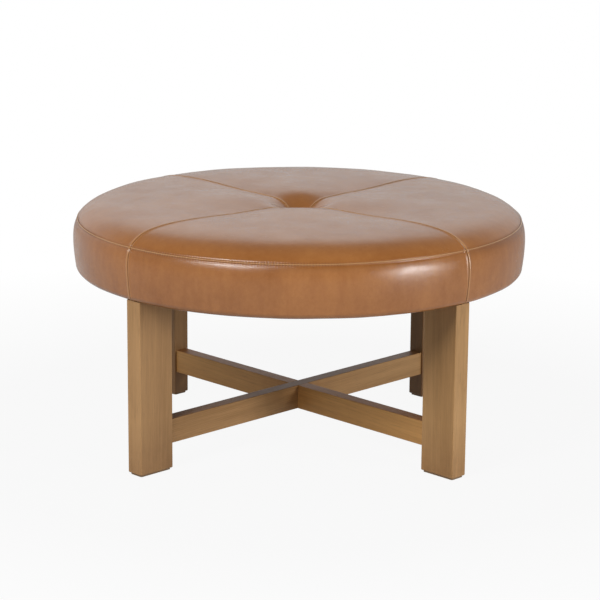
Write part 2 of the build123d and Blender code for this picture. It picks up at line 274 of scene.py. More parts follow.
def leather_pattern():
    tree, start, end = new_group(
        "leather_pattern",
        {"Light": "Color", "Dark": "Color"},
        {"Color": "Color", "Roughness": "Float", "Height": "Float"},
    )
    place = object_place(tree)
    rightward = axes(tree, place)["X"]
    base = dyed(tree, place, start.outputs["Light"], start.outputs["Dark"])
    grain = put(tree, "TexVoronoi", {"Vector": place, "Scale": 850.0}, feature="DISTANCE_TO_EDGE")
    crease = stretched(tree, grain.outputs["Distance"], 0.0, 0.12)
    pores = stretched(tree, cloudy(tree, place, 1600.0, 1.0), 0.62, 0.72)
    creased = mixed(tree, stretched(tree, crease, 0.0, 1.0, 0.10, 0.0), base, crease_colour)

    # Painted shade near the rim's seam, in patches and strongest on the right.
    rim_shade_patches = widened(tree, cloudy(tree, place, 3.2, 2.0, 0.5), 0.12, 0.2, 0.5)
    rim_shade_patches = plus(tree, rim_shade_patches, stretched(tree, rightward, *rim_shade_right, 0.0, 0.5))
    rim_shaded = mixed(tree, times(tree, stored(tree, "held"), rim_shade_patches), creased, rim_shade_colour)
    # The fold mask paints highlight: lighter on the seam ridges and the rim's lip.
    fold = stored(tree, "fold")
    highlighted = mixed(tree, times(tree, fold, 0.5), rim_shaded, ridge_highlight_colour)

    wave = worked(tree, "SINE", times(tree, stored(tree, "along"), 2 * pi / stitch_pitch))
    tight = widened(tree, cloudy(tree, place, 9.0, 2.0, 0.5), 0.15, 0.5, 1.0)
    tight = times(tree, tight, stretched(tree, rightward, *tight_side, 0.9, 0.08))
    pucker = stored(tree, "pucker")
    sewn = times(tree, times(tree, wave, times(tree, pucker, tight)), pucker_height)
    beside = times(tree, pucker, stretched(tree, fold, 0.1, 0.8, 1.0, 0.15))
    # Dark marks in the puckers' hollows and along the seam grooves are painted shade.
    needle = times(tree, stretched(tree, wave, -0.1, -0.9), times(tree, beside, tight))
    seam_shade = worked(tree, "MAXIMUM", times(tree, stored(tree, "groove"), 0.6), needle)
    colour = mixed(tree, seam_shade, highlighted, seam_shade_colour)

    smears = widened(tree, cloudy(tree, place, 22.0, 3.0, 0.6), 0.2, 0.19, 0.27)
    roughness = plus(tree, smears, times(tree, pores, 0.02))
    fine = worked(tree, "SUBTRACT", times(tree, crease, 0.6), times(tree, pores, 0.12))
    feed(tree, end, {"Color": colour, "Roughness": roughness, "Height": plus(tree, fine, sewn)})
    return tree


leather_group = leather_pattern()
print("leather pattern nodes:", len(leather_group.nodes))

# %% [markdown]
# ### Three leathers from one pattern
#
# The top, the sides and the button are the same hide, but the top has been sat on, and the button's
# gathered piece is the darkest. So each gets the same pattern with its own light and dark dye.

# %% Leather finishes
waxed_shine = 0.75
grain_depth = 0.05 * mm


def leather_finish(name, light, dark):
    material, tree, shader = new_material(name, Specular_IOR_Level=waxed_shine)
    use_group(tree, shader, leather_group, {"Light": light, "Dark": dark}, grain_depth)
    return material


top_finish = leather_finish("cognac_top_leather", (0.495, 0.194, 0.049, 1), (0.385, 0.137, 0.030, 1))
side_finish = leather_finish("cognac_side_leather", (0.52, 0.205, 0.054, 1), (0.355, 0.122, 0.025, 1))
button_finish = leather_finish("cognac_button_leather", (0.45, 0.178, 0.045, 1), (0.36, 0.13, 0.03, 1))
print("leather finishes: 3")

# %% [markdown]
# ## Oak
#
# The legs and stretchers are oak, stained a warm mid brown under a satin lacquer. A board is a cut
# through the rings of a tree, so the pattern is made like that: the distance from the pith, an axis
# a little outside the board and not quite parallel with it, goes through a repeating ramp, and the
# faces cut it into straight or pointed figure by themselves. Fibres, wider bands and short dark
# pores run along the grain, drawn out by squeezing the noise on the board's long axis.

# %% Oak pattern, made once
ring_width = 3.4 * mm
ring_wander = 9 * mm
ring_darkness = ((0.0, 0.25), (0.12, 1.0), (0.35, 0.55), (0.8, 0.12), (1.0, 0.35))
pore_colour = (0.10, 0.05, 0.022, 1)
# Painted light on each board's outward face along its X axis.
outer_face_painted_light = 0.22


def oak_rings(tree, board, long_grain):
    """Darkness of the growth rings, from the distance to the pith."""
    wander = cloudy(tree, long_grain, 26.0, 3.0, 0.5)
    bent = plus(tree, from_axis(tree, board), times(tree, wander, ring_wander))
    ring = worked(tree, "FRACT", worked(tree, "DIVIDE", bent, ring_width))
    darkness = put(tree, "ValToRGB", {"Fac": ring})
    stops = darkness.color_ramp.elements
    for k, (position, grey) in enumerate(ring_darkness):
        stop = stops[k] if k < 2 else stops.new(position)
        stop.position = position
        stop.color = (grey, grey, grey, 1)
    return darkness.outputs[0]


def oak_pattern():
    tree, start, end = new_group(
        "oak_pattern",
        {"Board": "Vector", "Light": "Color", "Dark": "Color", "Facing": "Float", "PaintedShade": "Float"},
        {"Color": "Color", "Roughness": "Float", "Height": "Float"},
    )
    board = start.outputs["Board"]
    long_grain = squeezed(tree, board, (1, 1, 0.06))
    streaks = squeezed(tree, board, (1, 1, 0.018))
    rings = oak_rings(tree, board, long_grain)
    pores = stretched(tree, cloudy(tree, streaks, 1500.0, 2.0, 0.55), 0.56, 0.68)
    pores = times(tree, pores, plus(tree, rings, 0.25))
    fibres = cloudy(tree, streaks, 700.0, 4.0, 0.65)
    bands = widened(tree, cloudy(tree, streaks, 210.0, 3.0, 0.6), 0.2)
    tone = widened(tree, cloudy(tree, long_grain, 12.0, 3.0, 0.6), 0.2)
    shade = times(tree, rings, 0.11)
    for part, share in ((fibres, 0.4), (bands, 0.16), (tone, 0.52)):
        shade = plus(tree, shade, times(tree, part, share))
    # Painted light lightens the outward face along X: the legs' outer narrow faces and the stretchers'
    # undersides.
    shade = worked(tree, "SUBTRACT", shade, times(tree, start.outputs["Facing"], outer_face_painted_light))
    shade = stretched(tree, shade, 0.16, 1.0)
    base = mixed(tree, shade, start.outputs["Light"], start.outputs["Dark"])
    # Multiplies in the dark tone as painted shade.
    base = mixed(tree, start.outputs["PaintedShade"], base, start.outputs["Dark"], "MULTIPLY")
    colour = mixed(tree, times(tree, pores, 0.28), base, pore_colour)
    height = worked(tree, "SUBTRACT", times(tree, fibres, 0.25), pores)
    roughness = widened(tree, fibres, 0.2, 0.4, 0.52)
    feed(tree, end, {"Color": colour, "Roughness": roughness, "Height": height})
    return tree


oak_group = oak_pattern()
print("oak pattern nodes:", len(oak_group.nodes))

# %% [markdown]
# ### A finish for each board
#
# No two boards of a tree look the same, so each gets its own place in the tree and its own tone. The
# tones hold painted shade and light too: the back legs are painted dark for the seat's shade on them,
# and the stretchers are light, the lower one painted light where the seat shades it. Painted shade
# darkens the wood where the bars cross, towards the legs' feet and on the faces that look up, and
# painted light brightens each board's outward face along its X axis: the legs' outer narrow faces and
# the stretchers' undersides.

# %% Oak boards
oak_shine = 0.4
pith_lean = (0.012, 0.02, 0)
# Painted shade at the crossing, towards the feet and on faces that look up.
crossing_shade = (15 * mm, 130 * mm, 0.34, 0.0)
foot_shade = (0.0, 110 * mm, 0.3, 0.0)
upward_shade = (0.5, 1.0, 0.0, 0.7)
shade_spots = 30.0
# The back legs' dark tone is painted shade, and the lower stretcher's light tone is painted light.
board_tones_and_shade = {
    "light": ((0.82, 0.45, 0.158, 1), (0.46, 0.226, 0.062, 1)),
    "golden": ((0.69, 0.40, 0.172, 1), (0.31, 0.154, 0.047, 1)),
    "middle": ((0.60, 0.340, 0.146, 1), (0.24, 0.117, 0.036, 1)),
    "dark": ((0.40, 0.214, 0.080, 1), (0.17, 0.08, 0.025, 1)),
}
leg_tones_and_shade = {"front_left": "middle", "front_right": "golden", "back_left": "dark", "back_right": "dark"}
stretchers = {"stretcher_upper_lap": (45, "golden"), "stretcher_lower_lap": (135, "light")}


def oak_painted_shade(tree, place, normal):
    """Painted shade: darker at the crossing under the seat, towards the feet and on faces that look up."""
    crossing = stretched(tree, from_axis(tree, place), *crossing_shade)
    foot = stretched(tree, axes(tree, place)["Z"], *foot_shade)
    uneven = widened(tree, cloudy(tree, place, shade_spots, 3.0, 0.6), 0.2, 0.6, 1.2)
    upward = stretched(tree, axes(tree, normal)["Z"], *upward_shade)
    return worked(tree, "MAXIMUM", times(tree, worked(tree, "MAXIMUM", crossing, foot), uneven), upward)


def oak_finish(name, grain_turn, pith_place, light, dark):
    """One board's finish: grain_turn lays the pattern's Z axis along the board."""
    material, tree, shader = new_material(name, Specular_IOR_Level=oak_shine)
    place = object_place(tree)
    normal = put(tree, "TexCoord").outputs["Normal"]
    board, face = [
        put(tree, "Mapping", {"Vector": v, "Rotation": grain_turn}, vector_type="TEXTURE").outputs[0]
        for v in (place, normal)
    ]
    in_tree = {"Vector": board, "Location": pith_place, "Rotation": pith_lean}
    facing_out = worked(tree, "MAXIMUM", axes(tree, face)["X"])
    inputs = {"Light": light, "Dark": dark, "Facing": facing_out, "PaintedShade": oak_painted_shade(tree, place, normal)}
    inputs["Board"] = put(tree, "Mapping", in_tree).outputs[0]
    use_group(tree, shader, oak_group, inputs, grain_depth)
    return material


def finish_node(node, finish):
    """Gives a CAD piece its finish."""
    for slot in nodes[node].material_slots:
        slot.material = finish


for k, (corner, azimuth) in enumerate(corners.items()):
    turn = (0, 0, radians(azimuth))
    pith = (0.06 + 0.013 * k, 0.045 - 0.02 * k, 0.3 * k)
    tones = board_tones_and_shade[leg_tones_and_shade[corner]]
    finish_node(f"leg_{corner}", oak_finish(f"oak_leg_{corner}", turn, pith, *tones))
for k, (bar, (azimuth, tone)) in enumerate(stretchers.items()):
    turn = (0, pi / 2, radians(azimuth))
    pith = (0.05, 0.03 + 0.02 * k, 0.2 * k)
    finish_node(bar, oak_finish("oak_" + bar, turn, pith, *board_tones_and_shade[tone]))
print("oak boards:", len(corners) + len(stretchers))

# %% [markdown]
# ## The plain materials
#
# Most of the other pieces are hidden in a finished ottoman, but each is still what it is: felt under
# the feet, plywood and blocks in the frame, foam and fibre, zinc plated steel, brass, nylon, twine
# and black non-woven cloth. Each has one pattern at its own scale, from one function that mixes two
# colours by noise and gives the same noise to the roughness and the bump.

# %% Plain finishes
rough_spread = 0.06


def speckled(name, light, dark, spots, window, rough, bump, stretch=(1, 1, 1), **sockets):
    """Two colours mixed by noise at so many spots to the metre; stretch squeezes it along an axis."""
    material, tree, shader = new_material(name, Roughness=rough, **sockets)
    grain = cloudy(tree, squeezed(tree, object_place(tree), stretch), spots, 4.0, 0.6)
    share = widened(tree, grain, window)
    colour = mixed(tree, share, (*dark, 1), (*light, 1))
    roughness = widened(tree, grain, 0.2, rough - rough_spread, rough + rough_spread)
    rise = put(tree, "Bump", {"Height": grain, "Distance": bump}).outputs[0]
    feed(tree, shader, {"Base Color": colour, "Roughness": roughness, "Normal": rise})
    return material


felt = speckled("brown_felt", (0.36, 0.235, 0.13), (0.24, 0.15, 0.08), 1400, 0.2, 0.95, 0.2 * mm)
ply = speckled("birch_plywood", (0.66, 0.5, 0.32), (0.48, 0.34, 0.2), 60, 0.15, 0.6, 0.05 * mm, (1, 1, 11))
pine = speckled("pine_blocks", (0.64, 0.47, 0.28), (0.5, 0.34, 0.18), 90, 0.15, 0.65, 0.05 * mm, (0.2, 1, 3))
beech = speckled("beech_dowel", (0.68, 0.5, 0.32), (0.55, 0.38, 0.22), 300, 0.15, 0.6, 0.03 * mm)
fibre = speckled(
    "polyester_fibre", (0.88, 0.88, 0.86), (0.72, 0.72, 0.7), 260, 0.2, 0.95, 1.2 * mm, Sheen_Weight=0.4
)
foam = speckled("seat_foam", (0.87, 0.82, 0.64), (0.7, 0.63, 0.45), 900, 0.15, 0.9, 0.4 * mm)
twine = speckled("tufting_twine", (0.72, 0.64, 0.5), (0.5, 0.42, 0.3), 900, 0.15, 0.8, 0.3 * mm, (1, 1, 0.2))
nylon = speckled("white_nylon", (0.78, 0.78, 0.75), (0.7, 0.7, 0.66), 200, 0.2, 0.35, 0.02 * mm)
black_cloth = speckled(
    "black_dust_cloth", (0.045, 0.045, 0.048), (0.012, 0.012, 0.013), 1100, 0.15, 0.9, 0.15 * mm,
    Sheen_Weight=0.3,
)
zinc = speckled(
    "zinc_plated_steel", (0.66, 0.67, 0.68), (0.52, 0.53, 0.55), 500, 0.2, 0.34, 0.01 * mm, Metallic=1.0
)
brass = speckled(
    "brass_insert", (0.72, 0.56, 0.28), (0.6, 0.44, 0.2), 400, 0.2, 0.32, 0.01 * mm, Metallic=1.0
)

plain_finishes = (
    (felt, ("foot_pad",)),
    (ply, ("ring_segment", "deck_board", "rim_hoop")),
    (pine, ("leg_block", "joint_block")),
    (beech, ("stretcher_dowels",)),
    (twine, ("tuft_twine",)),
    (nylon, ("tie_washer",)),
    (zinc, ("leg_bolt", "lap_screw")),
    (brass, ("leg_inserts",)),
)
for finish, starts in plain_finishes:
    for node in nodes:
        if node.startswith(starts):
            finish_node(node, finish)
print("plain finishes:", len(plain_finishes))

# %% [markdown]
# ## The seat's form
#
# Foam and fibre push the leather up into a crown, and the seams hold it down. One formula gives the
# height of the cover midway between two seams. It falls slowly over most of the seat and fast near
# the rim, which a high power of the radius does, and it sinks into the tuft in the middle. A second
# one gives the valley along each seam: none near the rim, where the leather is stretched, and nearly
# a centimetre near the tuft, which pulls the seams down.

# %% Height of the crown and depth of the seams
rim_rise = 28.8 * mm
roll_rise = 2.2 * mm
middle_rise = crown_height - seam_height - rim_rise - roll_rise
tuft_depth = 44.0 * mm
tuft_reach = 46.5 * mm
valley_depth = 8.4 * mm
valley_half_width = 130 * mm
valley_deepens = (340 * mm, 140 * mm)
valley_rises = (30 * mm, 105 * mm)


def eased(value, start, stop):
    """From 0 at start to 1 at stop, smoothly."""
    share = np.clip((value - start) / (stop - start), 0, 1)
    return share * share * (3 - 2 * share)


def bell(value, width, middle=0):
    """A smooth bump, 1 at the middle."""
    return np.exp(-(((value - middle) / width) ** 2))


def crown(radius):
    """Height of the cover midway between two seams."""
    share = np.clip(radius / seam_radius, 0, 1)
    rise = roll_rise + rim_rise * (1 - share**16) + middle_rise * (1 - share**2)
    return seam_height + rise - tuft_depth * np.exp(-((radius / tuft_reach) ** 1.5))


def valley(radius, away):
    """Depth of the wide valley along a seam, at a distance away from it."""
    depth = valley_depth * eased(radius, *valley_deepens) * eased(radius, *valley_rises)
    reach = np.minimum(valley_half_width, 0.7 * radius)
    return depth * np.clip(1 - away / reach, 0, 1) ** 1.7


print("crown heights at radii in mm:", {r: round(float(crown(r * mm)) / mm, 1) for r in (80, 150, 300, 440)})

# %% [markdown]
# ## The sewn edge of a panel
#
# Where two panels meet, each folds over and goes down into the seam. The fold is a quarter of an
# ellipse about two millimetres wide. The turned-in allowance behind it lifts the leather into a low
# ridge beside the groove, and near the rim, where the layers are thickest, the ridges rise and
# spread. So the points across a panel are tenths of a millimetre apart at the fold, and about a
# centimetre in the middle.

# %% Points across a panel and the relief of its sewn edge
fold_width = 2.2 * mm
fold_depth = 2.4 * mm
ridge_place, ridge_height, ridge_width = 3.2 * mm, 0.75 * mm, 1.5 * mm
spread_outwards, spread_upwards = 2.6 * mm, 0.6 * mm
flap_depths = [6 * mm, 4 * mm, 2 * mm]
fold_steps = [0.0, 0.03, 0.13, 0.29, 0.5, 0.74, 1.0]
zone_steps = [3.0, 4.0, 5.0, 6.5, 8.5, 11.5, 15.5, 20.0, 26.0]
zone_width = zone_steps[-1] * mm
zone_share = 0.55
middle_count = 34


def across(radius):
    """Angles across a quarter from seam to seam, and how far its edges shrink near the tuft."""
    shrink = min(1.0, zone_share * radius * pi / 4 / zone_width)
    near = [fold_width * s * shrink for s in fold_steps] + [z * mm * shrink for z in zone_steps]
    edge = pi / 4 - np.arcsin(np.clip(np.array(near) / radius, 0, 1))
    inner = edge[-1] * (1 - np.arange(1, middle_count + 1) / middle_count)
    side = np.concatenate([edge, inner])
    return np.concatenate([-side, side[-2::-1]]), shrink


def sewn_edge(away, shrink, spread):
    """Height of the fold and the ridge beside it, below and above the plain leather."""
    into = np.clip(1 - away / (fold_width * shrink), 0, 1)
    fold = -fold_depth * shrink * (1 - np.sqrt(1 - into**2))
    place = (ridge_place + spread_outwards * spread) * shrink
    ridge = (ridge_height + spread_upwards * spread) * bell(away, ridge_width * shrink, place)
    return fold + ridge


print("points across a panel:", len(across(seam_radius)[0]))

# %% [markdown]
# ## From rows of points to a mesh
#
# Each panel is a grid, because its faces bend well in rolled edges: rows follow the profile from the
# middle outwards, columns run from seam to seam. grid_mesh() makes the faces and stores the masks.

# %% Grid mesh and object helpers
def new_piece(name, mesh, finish):
    """Puts a mesh in the scene as a piece that rides on the body."""
    piece = in_scene(name, mesh)
    mesh.materials.append(finish)
    mesh.polygons.foreach_set("use_smooth", [True] * len(mesh.polygons))
    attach(piece, "root")
    return piece


def grid_mesh(name, points, masks=None, closed=False):
    """A mesh from an array of rows and columns of points; closed joins the last column to the first."""
    rows, columns = points.shape[:2]
    index = np.arange(rows * columns).reshape(rows, columns)
    index = np.hstack([index, index[:, :1]]) if closed else index
    here, follow = index[:, :-1], index[:, 1:]
    faces = np.stack([here[:-1], here[1:], follow[1:], follow[:-1]], axis=-1).reshape(-1, 4)
    mesh = bpy.data.meshes.new(name)
    mesh.from_pydata(points.reshape(-1, 3).tolist(), [], faces.tolist())
    for mask, values in (masks or {}).items():
        layer = mesh.attributes.new(mask, "FLOAT", "POINT")
        layer.data.foreach_set("value", np.asarray(values, np.float32).reshape(-1))
    return mesh


def as_sheet(piece, thickness):
    """Gives a surface its thickness, inwards from its face, as part of the mesh."""
    solid = piece.modifiers.new("thickness", "SOLIDIFY")
    solid.thickness = thickness
    solid.offset = -1
    finished = bpy.data.meshes.new_from_object(piece.evaluated_get(bpy.context.evaluated_depsgraph_get()))
    piece.modifiers.clear()
    piece.data = finished


def turned(points, degrees):
    """Points turned about the seat's axis."""
    angle = radians(degrees)
    x = points[..., 0] * cos(angle) - points[..., 1] * sin(angle)
    y = points[..., 0] * sin(angle) + points[..., 1] * cos(angle)
    return np.stack([x, y, points[..., 2]], axis=-1)


def facing(path):
    """Unit normals of a profile of (radius, height) points, on its left."""
    along = np.gradient(path, axis=0)
    along /= np.linalg.norm(along, axis=1)[:, None]
    return np.stack([-along[:, 1], along[:, 0]], axis=1)


def run_from(path, row, sign):
    """Each row's distance along the leather from the rim's seam: above it positive, below it negative."""
    walked = np.concatenate([[0], np.linalg.norm(np.diff(path, axis=0), axis=1).cumsum()])
    return sign * np.maximum(sign * (walked[row] - walked), 0)


print("mesh helpers ready")

# %% [markdown]
# ## Stuffing and sewing
#
# No seat is perfectly even. The stuffing makes lumps a hand wide and, on the sides, fine upright
# ones, and a hand-guided seam sways by about a millimetre. The leather's masks come from the same
# distances as the relief: away from a seam, and along the profile from the rim.

# %% A panel's points and masks
broad_lumps = (11.0, 0.8 * mm)
fine_lumps = (45.0, 0.12 * mm)
lumps_grow = (0, 35 * mm)
sways = ((0.8 * mm, 60 * mm, 1.7), (0.35 * mm, 21 * mm, 2.9))
sway_reach = 30 * mm
sway_grows = (30 * mm, 90 * mm)
rim_spread = 13 * mm
# Painted highlight on the seam ridges and, stronger, on the rim's lip.
ridge_highlight_mark = (1.3 * mm, 2.4 * mm)
rim_highlight, rim_highlight_mark = 1.6, (1.2 * mm, -1.7 * mm)
# Painted shade in the seam grooves, fainter along the rim's seam.
groove_half_width = 0.8 * mm
rim_groove_shade, rim_groove_half_width = 0.25, 0.4 * mm
pucker_reach = 6 * mm
# Reach of the painted shade above and below the rim's seam.
rim_shade_above, rim_shade_below = 7 * mm, 14 * mm


def unevenness(points, spots, height, seed):
    """Small smooth lumps in the stuffing, the same on every run."""
    shift = Vector((seed * 7.3, seed * 3.1, seed * 5.7))
    flat = points.reshape(-1, 3)
    lumps = [noise.noise(Vector(p) * spots + shift) for p in flat.tolist()]
    return height * np.array(lumps).reshape(points.shape[:2])


def stuffed(points, normals, amount, seed):
    """Pushes the leather in and out over the uneven stuffing."""
    reach = np.hypot(points[..., 0], points[..., 1])
    upright = points * np.array([1, 1, 0.15])
    lumps = unevenness(points, *broad_lumps, seed) + unevenness(upright, *fine_lumps, seed + 3)
    lumps *= amount[:, None]
    for axis in (0, 1):
        points[..., axis] += lumps * normals[:, :1] * points[..., axis] / reach
    points[..., 2] += lumps * normals[:, 1:]
    return points


def sway(run, seam):
    """Sideways wander of a sewn seam, as the machine leaves it, at a distance run from the rim."""
    return sum(width * np.sin(run / length + start * seam) for width, length, start in sways)


def marks(angles, away, shrink, calm, run, azimuth):
    """One row's values of the masks for the leather pattern."""
    whole = np.ones(len(angles))
    rim_highlight_band = rim_highlight * bell(run, *rim_highlight_mark)
    rim_groove = rim_groove_shade * bell(run, rim_groove_half_width)
    width, middle = ridge_highlight_mark
    return {
        # fold: painted highlight on the ridges beside a seam and on the rim's lip.
        "fold": np.maximum(bell(away, width, middle * shrink) * calm, rim_highlight_band),
        # groove: painted shade in the seam's crack.
        "groove": np.maximum(bell(away, groove_half_width), rim_groove),
        "along": (angles + radians(azimuth)) * seam_radius,
        "pucker": whole * bell(run, pucker_reach),
        # held: painted shade near the rim's seam.
        "held": whole * bell(run, rim_shade_above if run > 0 else rim_shade_below),
    }


def panel_grid(path, sewn, runs, azimuth, seed):
    """Points and masks of a panel whose profile is swept through a quarter turn.

    sewn is 1 on the outside and 0 in a turned-in edge; runs are the rows' distances from the rim.
    """
    normals = facing(path)
    quarter = azimuth // 90
    flaps = len(flap_depths)
    rows = []
    masks = {}
    for (radius, height), (out, rise), calm, run in zip(path, normals, sewn, runs):
        angles, shrink = across(radius)
        away = radius * np.sin(pi / 4 - np.abs(angles))
        lift = sewn_edge(away, shrink, np.exp(-abs(run) / rim_spread) * calm) * calm
        low = -np.array(flap_depths) * calm
        lift = np.concatenate([lift[0] + low, lift, lift[-1] + low[::-1]])
        angles = np.pad(angles, flaps, mode="edge")
        away = np.pad(away, flaps, mode="edge")
        plan = radius + lift * out
        x, y = plan * np.cos(angles), plan * np.sin(angles)
        seam = np.where(angles > 0, quarter, (quarter - 1) % 4)
        shift = sway(run, seam) * np.exp(-away / sway_reach) * eased(radius, *sway_grows)
        x -= shift * np.sign(angles) * sin(pi / 4)
        y += shift * cos(pi / 4)
        z = height + lift * rise - valley(radius, away) * max(rise, 0)
        rows.append(np.stack([x, y, z], axis=-1))
        for mask, values in marks(angles, away, shrink, calm, run, azimuth).items():
            masks.setdefault(mask, []).append(values)
    amount = np.array(sewn) * eased(np.abs(runs), *lumps_grow)
    return stuffed(turned(np.array(rows), azimuth), normals, amount, seed), masks


print("a seam sways by up to", round(sum(width for width, length, start in sways) / mm, 2), "mm")

# %% [markdown]
# ## Top panels
#
# Each top panel's profile starts under the button, climbs out of the tuft over a soft lip, crosses
# the crown and rolls down to the edge seam, where the leather turns in. The leather gets its
# thickness from a Solidify modifier, which is applied, so the finished mesh is a real sheet.

# %% Profiles and meshes of the top panels
leather_thickness = 1.2 * mm
edge_roll = 6.5 * mm
roll_start = 3.6 * mm
roll_end, roll_points, roll_seam_row = 135, 10, 7


def steps(start, stop, size):
    """Even steps in millimetres, given back in metres."""
    return np.arange(start, stop, size) * mm


def rolled_edge(point, normal, roll, start, stop, count):
    """Points on an arc that leaves a profile's point along its surface; angles are from straight up."""
    turns = np.radians(np.linspace(start, stop, count + 1)[1:])
    middle = np.array(point) - roll * np.array(normal)
    return [middle + roll * np.array([sin(t), cos(t)]) for t in turns]


def top_profile():
    """A top panel's profile, how far each row is on the outside, and its distance from the rim."""
    bore = button_high.x / mm - 2
    rim = (seam_radius - roll_start) / mm
    zones = ((bore, 80, 2), (80, 400, 6), (400, 438, 3), (438, rim, 1))
    radii = np.concatenate([steps(*zone) for zone in zones] + [[rim * mm]])
    outside = np.stack([radii, crown(radii)], axis=1)
    slope = facing(outside)[-1]
    tilt = np.degrees(np.arctan2(slope[0], slope[1]))
    roll = rolled_edge(outside[-1], slope, edge_roll, tilt, roll_end, roll_points)
    turned_in = [roll[-1] + np.array(shift) * mm for shift in ((-0.6, -2.5), (-1.0, -7.0))]
    path = np.concatenate([outside, roll, turned_in])
    sewn = np.concatenate([np.ones(len(radii)), np.linspace(0.9, 0, len(roll)), [0, 0]])
    return path, sewn, run_from(path, len(radii) + roll_seam_row, 1)


def leather_sheet(part, quarter, points, masks, finish):
    """A leather panel of the top or the side, held taut over its padding."""
    name = f"{part}_leather_{quarter}"
    panel = new_piece(name, grid_mesh(name, points, masks), finish)
    as_sheet(panel, leather_thickness)
    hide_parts(f"{part}_panel_{quarter}")


top_rows = top_profile()
for quarter, azimuth in quarters.items():
    points, masks = panel_grid(*top_rows, azimuth, seed=1)
    leather_sheet("top", quarter, points, masks, top_finish)
print("top panels:", len(top_rows[0]), "rows of", len(across(seam_radius)[0]) + 2 * len(flap_depths))

# %% [markdown]
# ## Side panels
#
# A side panel hangs from the edge seam. Its upper edge is a narrow rolled lip, which shows as the
# thin bright line under the seam; on the right it stands a millimetre higher and covers more of the
# top's edge. Below the lip the leather is held in, then the foam pushes it out, and it comes back a
# little to the bottom corner. Under the seat it is pulled inwards and stapled, and since the circle
# gets shorter there, the hem lies in small radial gathers.

# %% Profile and meshes of the side panels
lip_half_width = 1.3 * mm
lip_half_height = 1.3 * mm
lip_reach = 0.7 * mm
lip_lift = 1.7 * mm
lip_angles = (-80, -60, -40, -20, 0, 20, 40, 55, 67, 78, 90, 105, 125)
right_lip_lift = 1.0 * mm
bulge = 9.2 * mm
draw_in = 7.6 * mm
hold_in = 0.7 * mm
corner_radius = 14 * mm
hem_inner_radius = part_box("dust_cover")[1].x - 38 * mm
hem_gap = 0.3 * mm
gathers_per_quarter = 15
gather_depth = 1.1 * mm
gathers_deepen = (445 * mm, 375 * mm)


def side_reach(drop):
    """How far the side stands out at a drop below the edge seam."""
    share = drop / side_height
    out = bulge * (1 - (1 - share) ** 6.5) - draw_in * share**2.6
    return out - hold_in * bell(drop, 2.5 * mm, 1.5 * mm)


def side_profile():
    """A side panel's profile, with the same two lists."""
    middle = np.array([seam_radius + lip_reach - lip_half_width, seam_height + lip_lift - lip_half_height])
    turned_in = [middle + np.array(shift) * mm for shift in ((-2.6, -8.0), (-2.0, -3.5))]
    turns = [radians(t) for t in lip_angles]
    lip = [middle + np.array([lip_half_width * sin(t), lip_half_height * cos(t)]) for t in turns]
    low = side_height - corner_radius
    drops = np.concatenate([steps(2.2, 16, 0.9), steps(16, low / mm - 3, 4), [low]])
    outside = np.stack([seam_radius + side_reach(drops), seam_height - drops], axis=1)
    centre = outside[-1] - np.array([corner_radius, 0])
    turns = [radians(t) for t in range(10, 91, 10)]
    corner = [centre + corner_radius * np.array([cos(t), -sin(t)]) for t in turns]
    lift = seat_bottom + hem_gap - corner[-1][1]
    corner = [c + np.array([0, lift * k / (len(corner) - 1)]) for k, c in enumerate(corner)]
    hem_radii = np.linspace(corner[-1][0], hem_inner_radius, 14)[1:]
    hem = np.stack([hem_radii, np.full(len(hem_radii), seat_bottom + hem_gap)], axis=1)
    path = np.concatenate([turned_in, lip, outside, corner, hem])
    outside_rows = len(outside) + len(corner) + len(hem)
    sewn = np.concatenate([[0, 0], np.linspace(0, 1, len(lip)), np.ones(outside_rows)])
    return path, sewn, run_from(path, len(turned_in) + 2, -1)


def gathered(points):
    """Lifts the hem under the seat into radial gathers that deepen inwards."""
    reach = np.hypot(points[..., 0], points[..., 1])
    angle = np.arctan2(points[..., 1], points[..., 0])
    under = points[..., 2] < seat_bottom + 1 * mm
    depth = gather_depth * eased(reach, *gathers_deepen) * under
    points[..., 2] += depth * (1 - np.abs(np.sin(angle * 2 * gathers_per_quarter)) ** 0.5)
    return points


def raised_lip(points):
    """Lifts the lip a little on the right, where it covers more of the top's edge."""
    near_rim = eased(points[..., 2], seam_height - 8 * mm, seam_height - 1 * mm)
    points[..., 2] += right_lip_lift * near_rim * eased(points[..., 0] / seam_radius, 0.0, 0.5)
    return points


side_rows = side_profile()
for quarter, azimuth in quarters.items():
    points, masks = panel_grid(*side_rows, azimuth, seed=2)
    leather_sheet("side", quarter, raised_lip(gathered(points)), masks, side_finish)
print("side panels:", len(side_rows[0]), "rows, widest radius", round(float(side_rows[0][:, 0].max()), 4))

# %% [markdown]
# ## Padding under the leather
#
# The padding gives the seat its form: a foam pad on the deck, a band of foam round the frame, and a
# fluffy polyester wrap over both. Each is a closed loop of points, turned about the axis. The wrap
# follows the four pillows and opens in a slit under every seam, where the leather's edges hang.

# %% Fibre wrap, foam pad and foam band
ring_columns = 256
deck_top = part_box("deck_board")[1].z
fibre_inset = 3.6 * mm
fibre_thickness = 11 * mm
fibre_fluff = (90.0, 0.4 * mm)
slit_depth, slit_half_width = 7.5 * mm, 3.5 * mm


def full_turn(count):
    return np.linspace(0, 2 * pi, count, endpoint=False)


def around(radius, angles, height):
    """A row of points about the seat's axis."""
    return np.stack([radius * np.cos(angles), radius * np.sin(angles), height + 0 * angles], axis=-1)


def round_mesh(name, rows):
    """A mesh closed round the axis; points on each other are joined and faces turned outwards."""
    mesh = grid_mesh(name, np.array(rows), closed=True)
    work = bmesh.new()
    work.from_mesh(mesh)
    bmesh.ops.remove_doubles(work, verts=work.verts, dist=0.002 * mm)
    bmesh.ops.recalc_face_normals(work, faces=work.faces)
    work.to_mesh(mesh)
    work.free()
    return mesh


